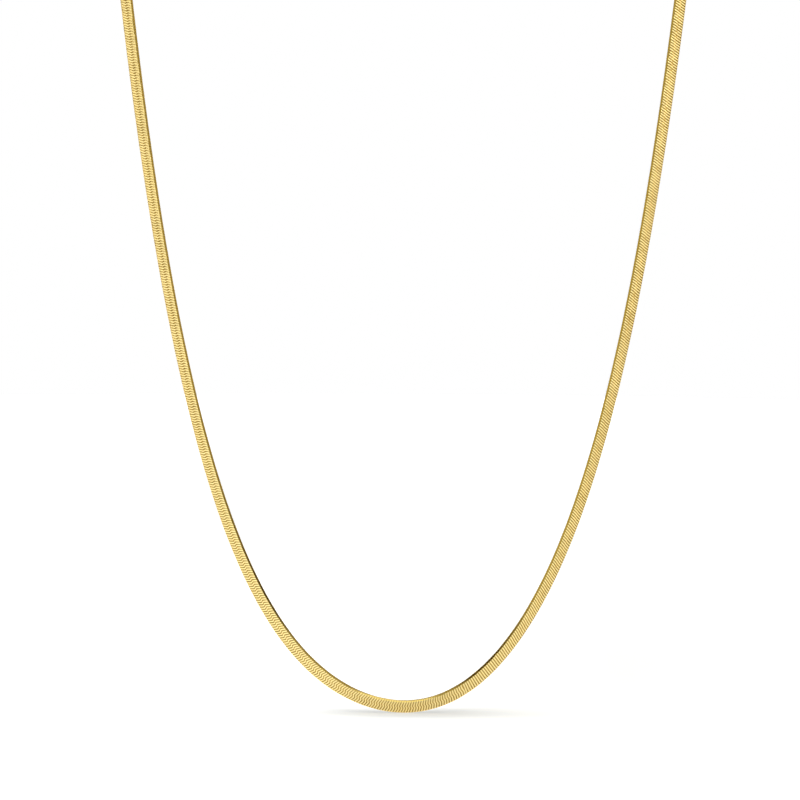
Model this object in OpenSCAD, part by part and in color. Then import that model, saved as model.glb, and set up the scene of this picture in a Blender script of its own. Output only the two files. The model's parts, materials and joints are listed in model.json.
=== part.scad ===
// Flat herringbone chain necklace, one closed loop of about 500 mm.
// Origin at the nape, in the middle of the clasp. +Z up, the front hangs towards -Y.
// The front hangs in one upright plane as a catenary, and the rest runs back round the neck.

/* [Chain] */
// Width of the flat chain, from edge to edge
chain_w = 2.2; // [1.8:0.05:3]
// Extra width at the lowest point, where the links pivot and fan out in the bend
foot_w = 0.3; // [0:0.05:0.4]
// How far to each side of the lowest point the extra width fades
foot_reach = 14; // [8:1:20]
// Thickness of the flat chain
chain_t = 0.8; // [0.6:0.05:1.2]
// Rounding along the chain's four long edges
edge_r = 0.15; // [0.1:0.05:0.3]

/* [Front curve] */
// Sideways size of the hanging curve, a catenary that the chain's stiffness flattens a little
hang_x = 17.5; // [16:0.5:20]
// Upright size of the hanging curve, equal to hang_x in a true catenary
hang_z = 15.2; // [14:0.2:18]
// Half the distance between the two strands where the hanging curve ends
strand_x = 52.5; // [50:0.5:56]
// How far the lowest bend hangs to the right of the middle, a set that the chain keeps
sway = 0.95; // [-1.5:0.05:1.5]
// How far up the hanging curve the sway reaches, as a share of hang_x to each side
sway_reach = 0.95; // [0.7:0.05:1.2]
// Lean of the chain's face from straight ahead towards the outside of the loop, in degrees
face_lean = 25; // [0:1:35]

/* [Way round the neck] */
// Distance from the hanging curve's plane back to the nape
neck_depth = 52; // [44:1:58]
// Height of the nape above the two ends of the hanging curve
nape_rise = 27; // [18:1:30]
// Pull of the strand's own upright direction on the bend over the shoulder
shoulder_pull = 32; // [24:1:36]
// Pull of the nape's level direction on the bend round the back of the neck
nape_pull = 28; // [22:1:34]
// Distance back to the upright axis that the chain faces away from on the way round
axis_y = 12; // [4:1:24]
// Lean of the chain's face from straight back towards straight up at the nape, in degrees
nape_lean = 45; // [20:1:60]

/* [Clasp] */
// Length of the clasp along the chain
clasp_l = 13; // [11:0.5:18]
// Width of the clasp's middle
clasp_w = 2.9; // [2.8:0.1:4]
// Thickness of the clasp's middle
clasp_t = 1.5; // [1.4:0.1:2.4]
// Length of the raised collar at each end
collar_l = 2.6; // [2.2:0.1:4]
// How far each collar stands proud of the middle
collar_proud = 0.25; // [0.15:0.05:0.4]
// Rounding along the clasp's long edges
clasp_r = 0.5; // [0.3:0.05:0.6]
// How far each end of the chain goes into the clasp
seat = 2; // [1.5:0.1:3]
// Clearance round the chain's end in its seat
seat_gap = 0.1; // [0.05:0.01:0.2]

/* [Hidden] */
gold = "#d9b368";
clasp_gold = "#cfa659";
overlap = 0.5;      // how far a cut starts outside what it cuts
front_rings = 48;   // sections along each half of the hanging curve
back_rings = 36;    // sections along each way round the neck
corner_steps = 2;   // flats along each rounded edge of the chain

// Where the clasp's mouth and the chain's own end lie along X
mouth_x = clasp_l / 2;
chain_end_x = mouth_x - seat;
// The chain runs straight over this last stretch, inside the clasp and just outside it
straight_x = mouth_x + 0.5;

function sinh(u) = (exp(u) - exp(-u)) / 2;
function cosh(u) = (exp(u) + exp(-u)) / 2;
function unit(v) = v / norm(v);
function mirrored(v) = [-v.x, v.y, v.z];
function reversed(list) = [for (i = [len(list) - 1:-1:0]) list[i]];
function square_to(v, direction) = unit(v - (v * direction) * direction);
function ease(t) = t * t * (3 - 2 * t);

// The hanging curve: x = hang_x * u, z = hang_z * (cosh(u) - 1), and x swayed near its lowest point
end_u = strand_x / hang_x;
strand_h = hang_z * (cosh(end_u) - 1);
function sway_at(u) = sway * exp(-pow(u / sway_reach, 2));
function hang_point(u) = [
    hang_x * u + sway_at(u),
    -neck_depth,
    hang_z * (cosh(u) - 1) - strand_h - nape_rise
];
function hang_way(u) = unit([
    hang_x - 2 * u / pow(sway_reach, 2) * sway_at(u),
    0,
    hang_z * sinh(u)
]);
function hang_face(u) =
    let (way = hang_way(u))
        sin(face_lean) * [way.z, 0, -way.x] - [0, cos(face_lean), 0];

// The way round the neck, one cubic curve from the strand's end to the clasp's mouth
start = hang_point(end_u);
bend = [
    start,
    start + shoulder_pull * hang_way(end_u),
    [straight_x + nape_pull, 0, 0],
    [straight_x, 0, 0]
];
function bend_point(t) =
    pow(1 - t, 3) * bend[0] + 3 * pow(1 - t, 2) * t * bend[1]
    + 3 * (1 - t) * pow(t, 2) * bend[2] + pow(t, 3) * bend[3];
function bend_way(t) = unit(
    pow(1 - t, 2) * (bend[1] - bend[0]) + 2 * (1 - t) * t * (bend[2] - bend[1])
    + pow(t, 2) * (bend[3] - bend[2]));
// Away from the neck's axis, leaning up
function neck_face(p) = cos(nape_lean) * unit([p.x, p.y + neck_depth - axis_y, 0])
    + [0, 0, sin(nape_lean)];
function nape_face() = [0, cos(nape_lean), sin(nape_lean)];
function bend_face(t) =
    let (w = ease(t))
    (1 - w) * ((1 - w) * hang_face(end_u) + w * neck_face(bend_point(t))) + w * nape_face();

// Width of the chain at a distance x to the side of its lowest point
function hang_width(x) = chain_w + foot_w * exp(-pow(x / foot_reach, 2));

// The chain's section as [across, through]: across points to the inside of the loop
function section(width) = [
    for (c = [0:3])
        let (sx = (c == 0 || c == 3) ? 1 : -1, sy = (c < 2) ? 1 : -1)
            for (i = [0:corner_steps])
                let (turn = 90 * c + 90 * i / corner_steps)
                    [
                        sx * (width / 2 - edge_r) + edge_r * cos(turn),
                        sy * (chain_t / 2 - edge_r) + edge_r * sin(turn)
                    ]
];

// One ring of the chain's skin: the section set square to the way at point p
function ring(p, way, face, width = chain_w) =
    let (out = square_to(face, way), in = cross(out, way))
        [for (q = section(width)) p + q[0] * in + q[1] * out];

front = [
    for (i = [-front_rings:front_rings])
        let (u = end_u * i / front_rings)
            ring(hang_point(u), hang_way(u), hang_face(u), hang_width(hang_x * u))
];
right_way_round = [
    for (j = [1:back_rings])
        let (t = j / back_rings)
            ring(bend_point(t), bend_way(t), bend_face(t)),
    ring([chain_end_x, 0, 0], [-1, 0, 0], nape_face())
];
left_way_round = [for (r = right_way_round) [for (p = r) mirrored(p)]];

// A closed skin over rings of the same number of points, with flat ends
module skin(rings) {
    n = len(rings[0]);
    last = len(rings) - 1;
    points = [for (r = rings) for (p = r) p];
    sides = [
        for (i = [0:last - 1]) for (k = [0:n - 1])
            let (m = (k + 1) % n)
                each [
                    [i * n + k, i * n + m, (i + 1) * n + m],
                    [i * n + k, (i + 1) * n + m, (i + 1) * n + k]
                ]
    ];
    ends = [[for (k = [n - 1:-1:0]) k], [for (k = [0:n - 1]) last * n + k]];
    polyhedron(points, concat(sides, ends), convexity = 6);
}

// A bar along X with rounded long edges, its width along Z
module bar(length, width, thick, r) {
    rotate([0, 90, 0])
        linear_extrude(length, center = true) {
            square([width, thick - 2 * r], center = true);
            square([width - 2 * r, thick], center = true);
            for (x = [-1, 1], y = [-1, 1])
                translate([x * (width / 2 - r), y * (thick / 2 - r)])
                    circle(r, $fn = 48);
        }
}

// The woven chain, one flat band from one side of the clasp down round the front to the other
module chain() {
    color(gold)
        skin(concat(reversed(left_way_round), front, right_way_round));
}

// The closed clasp, one plain piece with a seat at each end for the chain
module clasp() {
    collar_w = clasp_w + 2 * collar_proud;
    collar_t = clasp_t + 2 * collar_proud;
    seat_l = seat + seat_gap;
    color(clasp_gold)
        rotate([nape_lean, 0, 0])
            difference() {
                union() {
                    bar(clasp_l, clasp_w, clasp_t, clasp_r);
                    for (side = [-1, 1])
                        translate([side * (clasp_l - collar_l) / 2, 0, 0])
                            bar(collar_l, collar_w, collar_t, clasp_r);
                }
                for (side = [-1, 1])
                    translate([side * (mouth_x - seat_l / 2 + overlap / 2), 0, 0])
                        cube([seat_l + overlap, chain_t + 2 * seat_gap, chain_w + 2 * seat_gap],
                            center = true);
            }
}

chain();
clasp();
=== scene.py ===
import json
from math import atan, cos, pi, radians, sin

import bpy
import numpy as np
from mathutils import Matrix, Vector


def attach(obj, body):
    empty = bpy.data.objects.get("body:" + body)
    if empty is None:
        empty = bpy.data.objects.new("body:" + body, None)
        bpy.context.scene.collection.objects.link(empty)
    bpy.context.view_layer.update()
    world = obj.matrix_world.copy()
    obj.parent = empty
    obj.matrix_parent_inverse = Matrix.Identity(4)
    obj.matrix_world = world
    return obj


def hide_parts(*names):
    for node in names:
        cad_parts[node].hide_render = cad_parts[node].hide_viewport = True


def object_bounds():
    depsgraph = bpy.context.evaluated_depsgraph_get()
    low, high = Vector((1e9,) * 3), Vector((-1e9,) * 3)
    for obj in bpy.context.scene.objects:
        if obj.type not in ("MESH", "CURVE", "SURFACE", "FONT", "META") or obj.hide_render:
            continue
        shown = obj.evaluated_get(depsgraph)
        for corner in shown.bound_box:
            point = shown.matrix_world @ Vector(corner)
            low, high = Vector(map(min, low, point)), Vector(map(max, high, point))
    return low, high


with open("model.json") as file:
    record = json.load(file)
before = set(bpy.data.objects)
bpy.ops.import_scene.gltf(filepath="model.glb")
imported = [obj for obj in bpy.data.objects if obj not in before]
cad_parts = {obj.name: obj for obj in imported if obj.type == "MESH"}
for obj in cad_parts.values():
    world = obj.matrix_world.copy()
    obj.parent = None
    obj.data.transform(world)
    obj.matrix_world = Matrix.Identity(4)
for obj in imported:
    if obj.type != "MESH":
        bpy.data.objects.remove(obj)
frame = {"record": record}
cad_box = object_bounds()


# The camera
# It stands well back from the hanging front and a little above it, so that the floor shows only as a
# thin strip under the chain. The picture's width covers the two strands where they leave its top edge.
scene = bpy.context.scene
mm = 0.001                           # lengths are in metres
mounts = {m["name"]: np.array(m["pos_m"]) for m in frame["record"]["mounts"]}
lowest = mounts["pendant_rest"]      # middle of the chain at its lowest point
picture = 800                        # pixels along each side of the picture
pixel = 0.19 * mm                    # what one pixel covers at the lowest point
lowest_px = (403.8, 706.4)           # where the lowest point's middle shows in the picture
camera_rise = radians(5)             # how far the camera looks down
camera_roll = radians(0.355)         # the picture leans a little
camera_range = 1.1                   # metres from the front of the necklace

camera_data = bpy.data.cameras.new("camera")
camera_data.angle = 2 * atan(picture * pixel / 2 / camera_range)
camera_data.clip_start = 10 * mm
camera = bpy.data.objects.new("camera", camera_data)
camera.rotation_euler = (pi / 2 - camera_rise, 0, 0)
camera.rotation_euler.rotate_axis("Z", camera_roll)
to_right, to_top, to_camera = np.array(camera.rotation_euler.to_matrix()).T
camera.location = lowest + camera_range * to_camera \
    + pixel * (picture / 2 - lowest_px[0]) * to_right + pixel * (lowest_px[1] - picture / 2) * to_top
scene.collection.objects.link(camera)
scene.camera = camera
scene.view_settings.view_transform = "Standard"


# The studio
# A pale floor that the chain's lowest point all but touches, between plain soft lights at both sides, above
# and behind. The room round them is dim, so that the polished inner side is dark up the strands.
floor_gap = 0.1 * mm
floor_r, floor_corners = 0.65, 96
floor_z = cad_box[0][2] - floor_gap
turn = np.linspace(0, 2 * pi, floor_corners, endpoint=False)
floor_rim = np.stack([floor_r * np.cos(turn), floor_r * np.sin(turn), floor_z + 0 * turn], -1)
floor_mesh = bpy.data.meshes.new("floor")
floor_mesh.from_pydata(floor_rim.tolist(), [], [tuple(range(len(turn)))])
floor = bpy.data.objects.new("floor", floor_mesh)
scene.collection.objects.link(floor)


class Value:
    """A shader socket. Arithmetic on values adds Math nodes, and node() adds any other node."""

    def __init__(self, tree, socket):
        self.tree = tree
        self.socket = socket

    def math(self, operation, *others):
        return node(self.tree, "ShaderNodeMath", {"operation": operation}, {
            i: v for i, v in enumerate((self,) + others)})

    def __add__(self, other):
        return self.math("ADD", other)

    def __sub__(self, other):
        return self.math("SUBTRACT", other)

    def __mul__(self, other):
        return self.math("MULTIPLY", other)

    def __rsub__(self, other):
        return node(self.tree, "ShaderNodeMath", {"operation": "SUBTRACT"}, {0: other, 1: self})

    __radd__ = __add__
    __rmul__ = __mul__


def node(tree, kind, settings=None, inputs=None, output=0):
    """Adds a node, sets its settings first, then its sockets from numbers or links, and returns an output."""
    made = tree.nodes.new(kind)
    for name, value in (settings or {}).items():
        setattr(made, name, value)
    for name, value in (inputs or {}).items():
        if isinstance(value, Value):
            tree.links.new(value.socket, made.inputs[name])
        else:
            made.inputs[name].default_value = value
    return Value(tree, made.outputs[output]) if made.outputs else None


def mixed(tree, share, first, second):
    """The colour (1 - share) first + share second."""
    return node(tree, "ShaderNodeMix", {"data_type": "RGBA"}, {0: share, 6: first, 7: second}, output=2)


def ramp(tree, value, start, end, low=0.0, high=1.0):
    """The number that goes evenly from low to high while value goes from start to end, and no further."""
    return node(tree, "ShaderNodeMapRange", None, {0: value, 1: start, 2: end, 3: low, 4: high})


def material(name):
    """A material, its tree, and the Principled shader there that is joined to its output."""
    made = bpy.data.materials.new(name)
    made.use_nodes = True
    return made, made.node_tree, made.node_tree.nodes["Principled BSDF"]


# The floor's paint is pale. Close in on the right it is greyer, a painted shade that the chain's faces there
# reflect, and in a soft oval under the lowest bend it has a painted shadow where the necklace shades it.
# Elsewhere it glows a little as painted light, more on the left, where the chain's faces reflect it, and far
# out, so that it runs out into the white backdrop. Fades are exp(-k r^2), r metres from the middle of the
# floor.
# the white, and the grey that the floor's faint even tint, its painted shade and its painted shadow go
# towards
floor_white, floor_grey_and_painted_shade = (0.95, 0.95, 0.95, 1), (0.42, 0.405, 0.355, 1)
glow_brightest = (1.8, 1.94, 2.2, 1)         # the painted glow's emission at a glow of 2, which is the most it can be
side_x = 45 * mm                             # the left's glow passes into the right's from -side_x to side_x
right_from, right_to = 5 * mm, 25 * mm       # and the painted shade patch on the right begins between these
near_fall, middle_fall = -35.0, -8.0
shade_size = (23 * mm, 8 * mm, 1)
# the grey's shares: a faint even tint everywhere, and the painted shade patch close in, stronger on the right
grey_all, painted_shade_middle, painted_shade_right = 0.13, 0.25, 2.2
# and the painted shadow under the lowest bend, deeper where the camera sees the floor itself
grey_shade, grey_shade_seen = 0.6, 0.35
glow_out, glow_out_seen = 0.35, 1.2

floor_paint, tree, shader = material("floor_paint")
place = node(tree, "ShaderNodeTexCoord", output=3)
x = node(tree, "ShaderNodeSeparateXYZ", None, {"Vector": place})
left = 1 - ramp(tree, x, -side_x, side_x)
right = ramp(tree, x, right_from, right_to)
reach = node(tree, "ShaderNodeVectorMath", {"operation": "LENGTH"}, {0: place}, output=1)
near = (reach * reach * near_fall).math("EXPONENT")
close = near * near * near * near
middle = (reach * reach * middle_fall).math("EXPONENT") * (1 - near) * (1 - near)
# the painted shade patch close in on the right, which the chain's faces there reflect
painted_shade_patch = ((painted_shade_middle + painted_shade_right * right) * close).math("MINIMUM", 1.0)
# the painted shadow: a soft oval under the lowest bend
shade_at = node(tree, "ShaderNodeMapping", {"vector_type": "TEXTURE"}, {
    "Vector": place, "Location": (lowest[0], lowest[1], floor_z), "Scale": shade_size})
shade_r = node(tree, "ShaderNodeVectorMath", {"operation": "LENGTH"}, {0: shade_at}, output=1)
shade = (shade_r * shade_r * -1.0).math("EXPONENT")
seen = node(tree, "ShaderNodeLightPath")     # 1 for the picture itself, 0 for reflections and bounces

# the floor's colour, with the even tint, the painted shade patch and the painted shadow mixed in
paint = mixed(tree, painted_shade_patch + grey_all + (grey_shade + grey_shade_seen * seen) * shade, floor_white, floor_grey_and_painted_shade)
# How much it glows, as painted light that the chain's faces reflect: close in from 0.04 on the right to 0.4
# on the left, but not in the painted shadow, further out from 0.56 on the right to 0.22 on the left, and on
# the left in a ring between the two as well
glow_near = (0.04 + 0.36 * left * left) * near * (1 - shade)
glow_middle = (0.56 - 0.34 * left) * middle
glow_left = 0.04 * left + 1.6 * left * near * (1 - near)
# The glow is painted light; far out it also makes the floor run into the white backdrop
glow = seen * glow_out_seen * reach * reach + glow_out * reach \
    + (1 - painted_shade_patch) * (glow_left + glow_near + glow_middle)
emitted = mixed(tree, 0.5 * glow, (0, 0, 0, 1), glow_brightest)
tree.links.new(paint.socket, shader.inputs["Base Color"])
tree.links.new(emitted.socket, shader.inputs["Emission Color"])
shader.inputs["Emission Strength"].default_value = 1.0
shader.inputs["Roughness"].default_value = 0.9
shader.inputs["Specular IOR Level"].default_value = 0.1
floor_mesh.materials.append(floor_paint)


lit_point = Vector((0, lowest[1], -0.1))      # inside the hanging curve, where every light aims


def soft_light(name, azimuth, elevation, distance, size, brightness):
    """A rectangular light at distance from the point that all of them face.

    It stands at (sin a cos e, -cos a cos e, sin e) from there, for azimuth a and elevation e in degrees.
    Its power is brightness * pi * area, so brightness is what a mirror would show of it.
    """
    lamp = bpy.data.lights.new(name, "AREA")
    lamp.shape = "RECTANGLE"
    lamp.size, lamp.size_y = size
    lamp.energy = brightness * pi * size[0] * size[1]
    made = bpy.data.objects.new(name, lamp)
    a, e = radians(azimuth), radians(elevation)
    toward = Vector((sin(a) * cos(e), -cos(a) * cos(e), sin(e)))
    made.location = lit_point + distance * toward
    made.rotation_euler = toward.to_track_quat("Z", "Y").to_euler()
    made.visible_camera = False
    scene.collection.objects.link(made)


soft_light("light_left", -33.5, 12, 1.3, (1.25, 1.6), 0.80)
soft_light("light_right", 38.5, 12, 1.3, (1.3, 1.6), 1.9)
soft_light("light_top", 0, 52, 0.95, (1.4, 0.7), 2.0)
soft_light("light_over", 115, 85.5, 0.95, (0.7, 0.8), 0.68)
soft_light("light_back", 180, 18, 1.3, (0.8, 0.6), 1.2)

# The room round it: white where the camera looks straight at it, and in reflections a warm low wall, dimmer
# at its foot, under a dark band under a dim ceiling. Heights are the sine of the elevation, and the edges
# between them rise towards the left.
wall_right, wall_left = (0.42, 0.35, 0.17, 1), (0.48, 0.42, 0.22, 1)
band, ceiling = (0.05, 0.034, 0.010, 1), (0.33, 0.30, 0.20, 1)
left_from, left_to = 0.1, -0.6
band_from, band_to, band_tilt = 0.10, 0.34, 0.22
ceiling_from, ceiling_to, ceiling_tilt = 0.42, 0.55, 0.3
horizon_from, horizon_to, horizon_dim = 0.02, 0.12, 0.62

world = bpy.data.worlds.new("studio")
scene.world = world
world.use_nodes = True
tree = world.node_tree
tree.nodes.clear()
direction = node(tree, "ShaderNodeTexCoord", output=0)
up = node(tree, "ShaderNodeSeparateXYZ", None, {"Vector": direction}, output=2)
sideways = node(tree, "ShaderNodeSeparateXYZ", None, {"Vector": direction}, output=0)
leftward = ramp(tree, sideways, left_from, left_to)
wall = mixed(tree, leftward, wall_right, wall_left)
room = mixed(tree, ramp(tree, up - band_tilt * leftward, band_from, band_to), wall, band)
room = mixed(tree, ramp(tree, up - ceiling_tilt * leftward, ceiling_from, ceiling_to), room, ceiling)
strength = ramp(tree, up, horizon_from, horizon_to, horizon_dim, 1.0)
around = node(tree, "ShaderNodeBackground", None, {"Color": room, "Strength": strength})
backdrop = node(tree, "ShaderNodeBackground", None, {"Color": (1, 1, 1, 1), "Strength": 1.0})
seen = node(tree, "ShaderNodeLightPath")
both = node(tree, "ShaderNodeMixShader", None, {0: seen, 1: around, 2: backdrop})
node(tree, "ShaderNodeOutputWorld", None, {"Surface": both})


# The chain: flat herringbone, one length from one side of the clasp to the other. About a thousand rows of
# flat gold wire links are hooked into each other, pressed flat and polished. Each row crosses the face in
# an S of three slanted strokes and folds over the inner edge, which is polished smooth.
chain_w, chain_t = 2.2 * mm, 0.8 * mm
foot_w, foot_reach = 0.3 * mm, 19 * mm                      # the links fan out in the lowest bend
fan_w, fan_at, fan_reach = 0.2 * mm, -22 * mm, 12 * mm      # a trace more up its left side
top_w, top_reach, top_fade = 0.12 * mm, 5 * mm, 0.04        # and up to the shoulders
hang_x, hang_z, strand_x = 17.5 * mm, 15.2 * mm, 52.5 * mm
sway, sway_reach = 0.95 * mm, 0.95                          # the lowest bend hangs a little to the right
face_lean, nape_lean = radians(25), radians(45)
shoulder_pull, nape_pull, axis_y = 32 * mm, 28 * mm, 12 * mm
straight_x, chain_end_x = 7 * mm, 4.5 * mm
set_in = np.array([0, 0.02, 0.01]) * mm                     # back and up, to stay inside the CAD model's box
shoulder_in = 0.19 * mm                                     # and the shoulders a hair inwards
front_steps, bend_steps, run_steps = 3601, 900, 12          # points along each stretch of the middle line


def unit(v):
    """The vectors v, each divided by its length."""
    return v / np.linalg.norm(v, axis=-1, keepdims=True)


def middle_line():
    """Middle line, face direction and width of the chain, from the clasp's left side to its right side.

    In front it hangs as a flattened catenary, x = a u + c exp(-(u / d)^2) and z = b (cosh u - 1), and its
    width is w + f exp(-(x / r)^4) + g exp(-((x - s) / q)^2) + h exp(-((e - |x|) / p)^2), with x = a u. From
    each end of it a cubic Bezier curve leads back round the neck to a short straight run into the clasp.
    The face leans outwards in front, and turns round the neck's upright axis and up on the way to the nape.
    """
    side, back, up = np.eye(3)
    u = np.linspace(-strand_x / hang_x, strand_x / hang_x, front_steps)[:, None]
    swayed = sway * np.exp(-(u / sway_reach) ** 2)
    front = lowest + set_in + (hang_x * u + swayed - sway) * side + hang_z * (np.cosh(u) - 1) * up
    front_way = unit((hang_x - 2 * u / sway_reach ** 2 * swayed) * side + hang_z * np.sinh(u) * up)
    outward = front_way[:, 2:] * side - front_way[:, :1] * up
    front_face = sin(face_lean) * outward - cos(face_lean) * back
    front_x = hang_x * u[:, 0]
    front_wide = chain_w + foot_w * np.exp(-(front_x / foot_reach) ** 4) \
        + fan_w * np.exp(-((front_x - fan_at) / fan_reach) ** 2) \
        + top_w * np.exp(-((strand_x - np.abs(front_x)) / top_reach) ** 2)

    t = np.linspace(0, 1, bend_steps)[1:, None]
    start, mouth = front[-1], straight_x * side
    a = start + shoulder_pull * front_way[-1] - shoulder_in * side
    b = mouth + nape_pull * side
    bend = (1 - t) ** 3 * start + 3 * (1 - t) ** 2 * t * a + 3 * (1 - t) * t ** 2 * b + t ** 3 * mouth
    axis = np.array([0, lowest[1] + axis_y, 0])
    neck_face = cos(nape_lean) * unit((bend - axis) * [1, 1, 0]) + sin(nape_lean) * up
    nape_face = cos(nape_lean) * back + sin(nape_lean) * up
    w = t * t * (3 - 2 * t)
    bend_face = (1 - w) * ((1 - w) * front_face[-1] + w * neck_face) + w * nape_face

    run = np.linspace(straight_x, chain_end_x, run_steps)[1:, None] * side
    run_face = np.repeat(nape_face[None], len(run), 0)
    rest, rest_face = np.vstack([bend, run]), np.vstack([bend_face, run_face])
    rest_wide = chain_w + top_w * np.append(np.exp(-(t[:, 0] / top_fade) ** 2), np.zeros(len(run)))
    mirror = np.array([-1, 1, 1])
    return (np.vstack([rest[::-1] * mirror, front, rest]),
            np.vstack([rest_face[::-1] * mirror, front_face, rest_face]),
            np.concatenate([rest_wide[::-1], front_wide, rest_wide]))


line, face, wide = middle_line()
arc = np.append(0, np.cumsum(np.linalg.norm(np.diff(line, axis=0), axis=1)))
way = unit(np.gradient(line, arc, axis=0))
face = unit(face - (face * way).sum(1, keepdims=True) * way)
inside = np.cross(face, way) * (wide / chain_w)[:, None]
chain_l = arc[-1]


def on_chain(s, across, through):
    """Points line(s) + across inside(s) + through face(s), each track read at arc length s."""
    def at(track):
        return np.stack([np.interp(s, arc, track[:, i]) for i in range(3)], -1)
    return at(line) + across[..., None] * at(inside) + through[..., None] * at(face)


# One link as stations along its wire. It starts at the outer edge, crosses the face, folds over the inner
# edge and tucks under. Its face looks along look, from the inner side at 0 to straight out at 90 degrees.
stations = np.array([          # across and through in mm, look, 1 round the edge, depth of the gaps
    (-1.09, 0.32, 150, 0, 1), (-1.045, 0.35, 115, 0, 1), (-0.78, 0.40, 90, 0, 1),
    (-0.30, 0.40, 90, 0, 1.1), (-0.10, 0.40, 90, 0, 1.4), (0.10, 0.40, 90, 0, 1.4),
    (0.30, 0.40, 90, 0, 1.1), (0.82, 0.40, 90, 0, 0.5), (0.975, 0.40, 60, 0.3, 0.5),
    (0.985, 0.385, 17, 1, 0.5), (1.045, 0.12, 12, 1, 0.5), (1.10, -0.14, 6, 1, 0.5),
    (1.085, -0.28, -25, 1, 0.5), (1.02, -0.37, -60, 1, 0.5)])
pressed = 0.94                 # the rows are pressed a little thinner than the chain, so that rolled ones fit
across, through = stations[:, 0] * mm, stations[:, 1] * mm * pressed
on_edge, depth = stations[:, 3], stations[:, 4]
look = np.radians(stations[:, 2])

# The wire's section: foot, shoulder, shoulder, foot, as shares of the row's width, and their depths
section_s = np.array([-0.5, -0.2, 0.2, 0.5])
section_n = np.array([-0.12, 0, 0, -0.12]) * mm
edge_s = np.array([-0.5, -0.45, 0.45, 0.5])          # nearly flush with the next row round the edge
face_share, edge_share = 0.95, 0.99                  # of the pitch that the wire fills
row_pitch = 0.492 * mm                               # counted from the picture, about 2.6 pixels
rows = int(round(chain_l / row_pitch))
pitch = chain_l / rows

# How the strokes run, as lengths along the chain
slant, kink, kink_at = 0.44, 0.13 * mm, -0.02 * mm
drop_left, drop_foot, drop_right = 0.34 * mm, 0.18 * mm, -0.087 * mm
foot_at, foot_spread = -30 * mm, 27 * mm             # the S is deepest about here, left of the lowest point
bars_at, bars_reach, bars_share = 17 * mm, 8 * mm, 0.75
fade_at, fade_reach, fade_share = -32 * mm, 6 * mm, 0.75      # the painted shade in the gaps gets lighter up the left strand

# What no two rows share: how far each leans and stands out, and the slow roll of any worn chain
row_lean, row_lift = np.radians(3.0), 0.012 * mm
roll_size, roll_limit, roll_every = 1.6, 1.4, 1.3 * mm       # degrees, at most this times that, spacing
knots = np.arange(0, chain_l + 2 * mm, roll_every)
rolls = np.random.default_rng(5).standard_normal(len(knots))
rolls = np.radians(roll_size * np.clip(rolls, -roll_limit, roll_limit))


def strokes(row_s, b):
    """How far each row's strokes lie along the chain at b across it: slant b - drop / 2 tanh(b / kink).

    That is an S on the left, and on the right, where drop is small and the other way, nearly one straight
    stroke. In the bend at the right of the lowest point the whole fades, and the links stand up to bars.
    """
    from_foot = (row_s - chain_l / 2)[:, None]
    drop = drop_left + drop_foot * np.exp(-((from_foot - foot_at) / foot_spread) ** 2)
    drop = np.where(from_foot < bars_at - bars_reach / 2, drop, drop_right)
    bars = bars_share * np.exp(-((from_foot - bars_at) / bars_reach) ** 2)
    bent = np.clip(b, -chain_w / 2, chain_w / 2)[None] - kink_at
    return (1 - bars) * (slant * bent - drop / 2 * np.tanh(bent / kink))


def links(row_s, turned, seed):
    """Link meshes for rows at arc length row_s: a station by section grid each, closed at both ends.

    A section's point stands at its station, moved along the chain by the stroke and its share of the row's
    width, and along look by its depth, lift and lean. turned is 1 for the links of the face and -1 for
    those of the back, which are the same link turned half round about the chain's middle line. Relief is
    0 at the wire's feet and 1 on its top, and up the left strand it grows at the feet towards both edges;
    it is the mask of the painted shade in the gaps between the rows.
    """
    rng = np.random.default_rng(seed)
    count, steps, sides = len(row_s), len(across), len(section_s)
    width = pitch * (face_share + (edge_share - face_share) * on_edge)
    lean = row_lean * rng.uniform(-1, 1, count)
    roll = np.interp(row_s, knots, rolls)
    lift = row_lift * rng.uniform(-1, 1, count)
    along = (section_s + (edge_s - section_s) * on_edge[:, None]) * width[:, None]
    s = row_s[:, None, None] + strokes(row_s, across)[:, :, None] + along[None]
    loose = (1 - on_edge)[None, :, None]
    out = (section_n[None] * depth[:, None])[None] + lift[:, None, None] * loose \
        + np.tan(lean)[:, None, None] * along[None] * loose
    b = across[None, :, None] + out * np.cos(look)[None, :, None]
    n = through[None, :, None] + out * np.sin(look)[None, :, None] + roll[:, None, None] * b * loose
    points = on_chain(s, turned * b, turned * n).reshape(-1, 3)

    j, k = np.meshgrid(np.arange(steps - 1), np.arange(sides), indexing="ij")
    m = (k + 1) % sides
    quads = np.stack([j * sides + k, j * sides + m, (j + 1) * sides + m, (j + 1) * sides + k], -1)
    caps = np.array([[3, 2, 1, 0], [0, 1, 2, 3]]) + np.array([[0], [(steps - 1) * sides]])
    quads = np.vstack([quads.reshape(-1, 4), caps])
    faces = (quads[None] + (np.arange(count) * steps * sides)[:, None, None]).reshape(-1, 4)

    # Relief, the mask of the painted shade in the gaps: 1 on the wire's top, 0 at its feet, and up the left
    # strand the feet get less painted shade
    fading = fade_share / (1 + np.exp((row_s - chain_l / 2 - fade_at) / fade_reach))
    lighter_gap_shade = fading[:, None] * (depth.max() - depth)
    relief = np.where(section_n < 0, lighter_gap_shade[..., None], 1.0).reshape(-1)
    edge = np.broadcast_to(on_edge[None, :, None], (count, steps, sides)).reshape(-1)
    tone = np.repeat(rng.random(count), steps * sides)
    return points, faces, relief, edge, tone


sharp = radians(50)            # faces that meet at more than this keep a sharp corner


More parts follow.
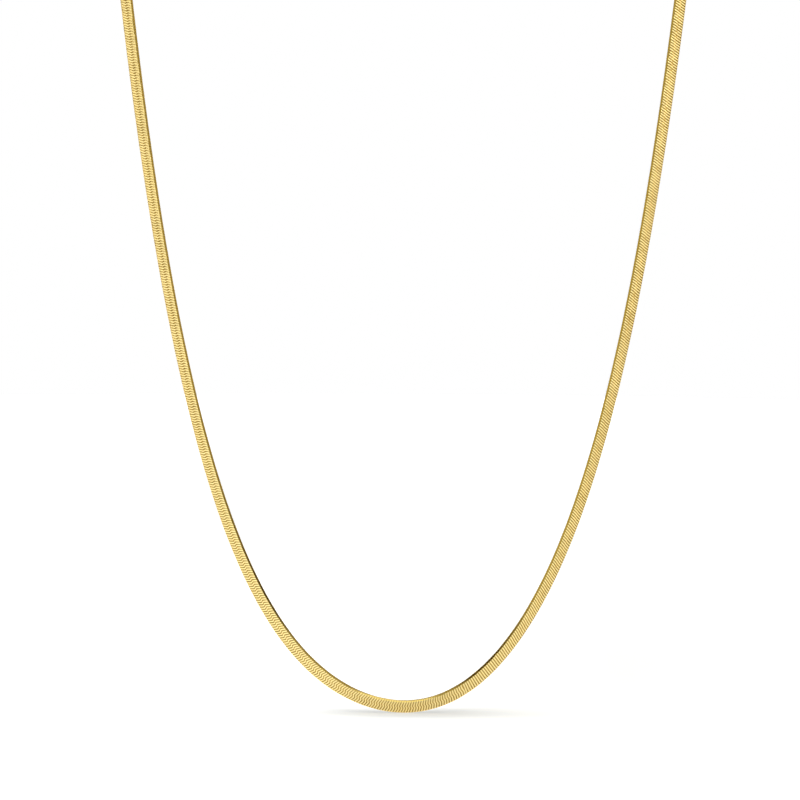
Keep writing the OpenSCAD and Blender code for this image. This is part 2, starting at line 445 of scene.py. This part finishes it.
def quad_mesh(name, points, faces, **tracks):
    """A smooth mesh with sharp corners from points and four-sided faces, with a float attribute per track."""
    mesh = bpy.data.meshes.new(name)
    mesh.vertices.add(len(points))
    mesh.vertices.foreach_set("co", points.astype(np.float32).ravel())
    mesh.loops.add(faces.size)
    mesh.loops.foreach_set("vertex_index", faces.astype(np.int32).ravel())
    mesh.polygons.add(len(faces))
    mesh.polygons.foreach_set("loop_start", np.arange(len(faces), dtype=np.int32) * 4)
    mesh.update(calc_edges=True)
    mesh.validate()
    mesh.polygons.foreach_set("use_smooth", np.full(len(faces), True))
    mesh.set_sharp_from_angle(angle=sharp)
    for track, values in tracks.items():
        mesh.attributes.new(track, "FLOAT", "POINT").data.foreach_set("value", values.astype(np.float32))
    return mesh


def add_piece(name, mesh, finish):
    """An object of the mesh and finish, with its place in its mesh, that rides on the one body."""
    made = bpy.data.objects.new(name, mesh)
    mesh.materials.append(finish)
    scene.collection.objects.link(made)
    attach(made, "root")
    return made


# The finish of the links: polished yellow gold, each a little lighter or darker, smoother and deeper in
# colour round the edge, and a painted shade of brown down in the gaps between the rows, where they lie in
# shadow
row_deep, row_light = (0.935, 0.755, 0.32, 1), (0.955, 0.795, 0.375, 1)
side_gold, painted_gap_shade = (0.95, 0.74, 0.26, 1), (0.42, 0.26, 0.05, 1)
cloud_scale, grain_scale = 90.0, 9000.0      # noise cells to the metre
link_gold, tree, shader = material("link_gold")
relief = node(tree, "ShaderNodeAttribute", {"attribute_name": "relief"}, output=2)
edge = node(tree, "ShaderNodeAttribute", {"attribute_name": "edge"}, output=2)
tone = node(tree, "ShaderNodeAttribute", {"attribute_name": "tone"}, output=2)
place = node(tree, "ShaderNodeTexCoord", output=3)
cloud = node(tree, "ShaderNodeTexNoise", None, {"Vector": place, "Scale": cloud_scale, "Detail": 3.0})
grain = node(tree, "ShaderNodeTexNoise", None, {"Vector": place, "Scale": grain_scale, "Detail": 2.0})
row_gold = mixed(tree, tone * 0.6 + cloud * 0.4, row_deep, row_light)
# towards the wire's feet the gold goes over to the painted shade of the gaps
colour = mixed(tree, relief * relief, painted_gap_shade, mixed(tree, edge, row_gold, side_gold))
rough = 0.24 + 0.08 * tone + 0.06 * cloud - 0.16 * edge
bump = node(tree, "ShaderNodeBump", None, {"Height": grain, "Strength": 0.08, "Distance": 0.01 * mm})
tree.links.new(colour.socket, shader.inputs["Base Color"])
tree.links.new(rough.socket, shader.inputs["Roughness"])
tree.links.new(bump.socket, shader.inputs["Normal"])
shader.inputs["Metallic"].default_value = 1.0

end_clear = 0.45 * mm          # the outermost rows keep this far from the chain's two cut ends
starts = (np.arange(rows) + 0.5) * pitch
starts = starts[(starts > end_clear) & (starts < chain_l - end_clear)]
for side_name, chosen, seed in (("left", starts < chain_l / 2, 11), ("right", starts >= chain_l / 2, 23)):
    of_face, of_back = (links(starts[chosen], turned, seed + turned) for turned in (1, -1))
    faces = np.vstack([of_face[1], of_back[1] + len(of_face[0])])
    points, relief, edge, tone = (np.concatenate([of_face[i], of_back[i]]) for i in (0, 2, 3, 4))
    mesh = quad_mesh(f"links_{side_name}", points, faces, relief=relief, edge=edge, tone=tone)
    piece = add_piece(f"links_{side_name}", mesh, link_gold)
    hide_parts("chain")


# The folds inside the chain
# Between the rows the eye meets the hidden hooks of the gold links, dull, and painted dark for the shade
# they lie in. They fill the chain's middle from end to end as one flat core with bevelled edges, just under
# the wires.
core_w, core_t, core_end = chain_w - 0.2 * mm, chain_t - 0.29 * mm, 0.1 * mm
core_ring = np.array([(1, -0.6), (1, 0.6), (0.9, 1), (-0.9, 1), (-1, 0.6), (-1, -0.6), (-0.9, -1), (0.9, -1)])
core_rings = 500
core_s = np.linspace(core_end, chain_l - core_end, core_rings)
count, sides = len(core_s), len(core_ring)
ring_b = np.broadcast_to(core_ring[:, 0] * core_w / 2, (count, sides))
ring_n = np.broadcast_to(core_ring[:, 1] * core_t / 2, (count, sides))
points = on_chain(np.repeat(core_s[:, None], sides, 1), ring_b, ring_n).reshape(-1, 3)
i, k = np.meshgrid(np.arange(count - 1), np.arange(sides), indexing="ij")
m = (k + 1) % sides
faces = np.stack([i * sides + k, i * sides + m, (i + 1) * sides + m, (i + 1) * sides + k], -1).reshape(-1, 4)
caps = np.array([(3, 2, 1, 0), (7, 4, 3, 0), (7, 6, 5, 4)])
faces = np.vstack([faces, caps, caps[:, ::-1] + (count - 1) * sides])

# dark golds, a painted shade on the hidden hooks, mixed at random by specks
hook_shade_dark, hook_shade_light = (0.48, 0.31, 0.07, 1), (0.62, 0.42, 0.11, 1)
speck_scale = 4000.0                         # noise cells to the metre
fold_gold, tree, shader = material("fold_gold")
place = node(tree, "ShaderNodeTexCoord", output=3)
specks = node(tree, "ShaderNodeTexNoise", None, {"Vector": place, "Scale": speck_scale, "Detail": 2.0})
tree.links.new(mixed(tree, specks, hook_shade_dark, hook_shade_light).socket, shader.inputs["Base Color"])
shader.inputs["Metallic"].default_value = 1.0
shader.inputs["Roughness"].default_value = 0.5
core = add_piece("inner_folds", quad_mesh("inner_folds", points, faces), fold_gold)
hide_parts("chain")


# The clasp
# A slim closed clasp of drawn gold tube, pressed to a flat bar, with a rolled collar at each end that
# takes the chain. It is turned and polished, then brushed along its length.
clasp_l, clasp_w, clasp_t, clasp_r = 13 * mm, 2.9 * mm, 1.5 * mm, 0.5 * mm
collar_l, collar_proud, seat, seat_gap = 2.6 * mm, 0.25 * mm, 2 * mm, 0.1 * mm
lip, mouth_lip, mouth_r = 0.18 * mm, 0.08 * mm, 0.14 * mm    # roundings of the collar and of its mouth
groove, groove_l, step_l = 0.05 * mm, 0.12 * mm, 0.14 * mm   # beside each collar
crown = 0.16                                                 # how far the faces are domed
floor_corner = 0.05 * mm                                     # in the seat's floor
plain_from = 2 * mm                                          # from a collar to the first plain section

# The clasp's half profile from the seat's floor out through the mouth to its middle: distance from the
# middle, half width, half thickness and corner radius of the rounded oblong section there
mouth_x, inner_x = clasp_l / 2, clasp_l / 2 - collar_l
slot_w, slot_t, slot_end = chain_w / 2 + seat_gap, chain_t / 2 + seat_gap, mouth_x - seat - seat_gap
body_w, body_t = clasp_w / 2, clasp_t / 2
lip_turn = np.radians([90, 60, 30, 0])
mouth = [
    (slot_end, slot_w / 2, slot_t / 2, floor_corner),
    (slot_end, slot_w, slot_t, mouth_lip),
    (mouth_x - mouth_lip, slot_w, slot_t, mouth_lip),
    (mouth_x, slot_w + mouth_lip, slot_t + mouth_lip, mouth_r)]
rim = [(mouth_x - lip * (1 - sin(a)), body_w + collar_proud - lip * (1 - cos(a)),
        body_t + collar_proud - lip * (1 - cos(a)), clasp_r) for a in lip_turn]
collar = [(inner_x + lip * (1 - sin(a)), body_w + collar_proud - lip * (1 - cos(a)),
           body_t + collar_proud - lip * (1 - cos(a)), clasp_r) for a in lip_turn[::-1]]
body = [
    (inner_x, body_w - groove, body_t - groove, clasp_r),
    (inner_x - groove_l, body_w - groove, body_t - groove, clasp_r),
    (inner_x - groove_l - step_l, body_w, body_t, clasp_r),
    (inner_x - plain_from, body_w, body_t, clasp_r)]
half = np.array(mouth + rim + collar + body)
profile = np.vstack([half, half[::-1] * [-1, 1, 1, 1]])


def oblong(profile, corner=8, straight=7):
    """Rings of a rounded oblong, one per row of profile: x, half width, half thickness, corner radius.

    Each corner is a quarter circle of the given radius, and the sides between them are divided evenly.
    The thickness then shrinks by the factor 1 - crown (b / half width)^2 at a distance b from the middle.
    """
    turn = np.linspace(0, pi / 2, corner + 1)
    between = np.linspace(0, 1, straight + 2)[1:-1, None]
    x, w, h, r = (profile[:, i:i + 1] for i in range(4))
    r = np.minimum(r, np.minimum(w, h))
    corners = []
    for quarter, (sign_w, sign_h) in enumerate([(1, 1), (-1, 1), (-1, -1), (1, -1)]):
        c, s = np.cos(turn + quarter * pi / 2), np.sin(turn + quarter * pi / 2)
        corners.append(np.stack([sign_w * (w - r) + r * c, sign_h * (h - r) + r * s], -1))
    parts = []
    for part, following in zip(corners, corners[1:] + corners[:1]):
        end = part[:, -1:]
        parts += [part, end + (following[:, :1] - end) * between]
    rings = np.concatenate(parts, 1)
    across, through = rings[..., 0], rings[..., 1]
    return np.broadcast_to(x, rings.shape[:2]), across, through * (1 - crown * (across / w) ** 2)


ring_x, ring_w, ring_t = oblong(profile)
count, sides = ring_x.shape
out_face = np.array([0, cos(nape_lean), sin(nape_lean)])
out_side = np.array([0, -sin(nape_lean), cos(nape_lean)])
points = (ring_x[..., None] * np.array([1, 0, 0]) + ring_w[..., None] * out_side
          + ring_t[..., None] * out_face).reshape(-1, 3)
i, k = np.meshgrid(np.arange(count - 1), np.arange(sides), indexing="ij")
m = (k + 1) % sides
faces = np.stack([i * sides + k, i * sides + m, (i + 1) * sides + m, (i + 1) * sides + k], -1).reshape(-1, 4)
ends = [list(range(sides))[::-1], list(range((count - 1) * sides, count * sides))]
clasp_sharp = radians(40)
clasp_mesh = bpy.data.meshes.new("clasp_shell")
clasp_mesh.from_pydata(points.tolist(), [], faces.tolist() + ends)
clasp_mesh.validate()
clasp_mesh.polygons.foreach_set("use_smooth", np.full(len(clasp_mesh.polygons), True))
clasp_mesh.set_sharp_from_angle(angle=clasp_sharp)

clasp_deep, clasp_light = (0.90, 0.69, 0.26, 1), (0.95, 0.77, 0.33, 1)
brush_stretch = (0.06, 1.0, 1.0)             # the brushing runs along the clasp
brush_scale, dull_scale = 9000.0, 500.0      # noise cells to the metre
clasp_gold, tree, shader = material("clasp_gold")
place = node(tree, "ShaderNodeTexCoord", output=3)
along = node(tree, "ShaderNodeMapping", None, {"Vector": place, "Scale": brush_stretch})
brushed = node(tree, "ShaderNodeTexNoise", None, {"Vector": along, "Scale": brush_scale, "Detail": 3.0})
cloud = node(tree, "ShaderNodeTexNoise", None, {"Vector": place, "Scale": dull_scale, "Detail": 2.0})
shine = mixed(tree, 0.5 * brushed + 0.5 * cloud, clasp_deep, clasp_light)
rough = 0.14 + 0.16 * brushed
bump = node(tree, "ShaderNodeBump", None, {"Height": brushed, "Strength": 0.15, "Distance": 0.01 * mm})
tree.links.new(shine.socket, shader.inputs["Base Color"])
tree.links.new(rough.socket, shader.inputs["Roughness"])
tree.links.new(bump.socket, shader.inputs["Normal"])
shader.inputs["Metallic"].default_value = 1.0
clasp = add_piece("clasp_shell", clasp_mesh, clasp_gold)
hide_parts("clasp")
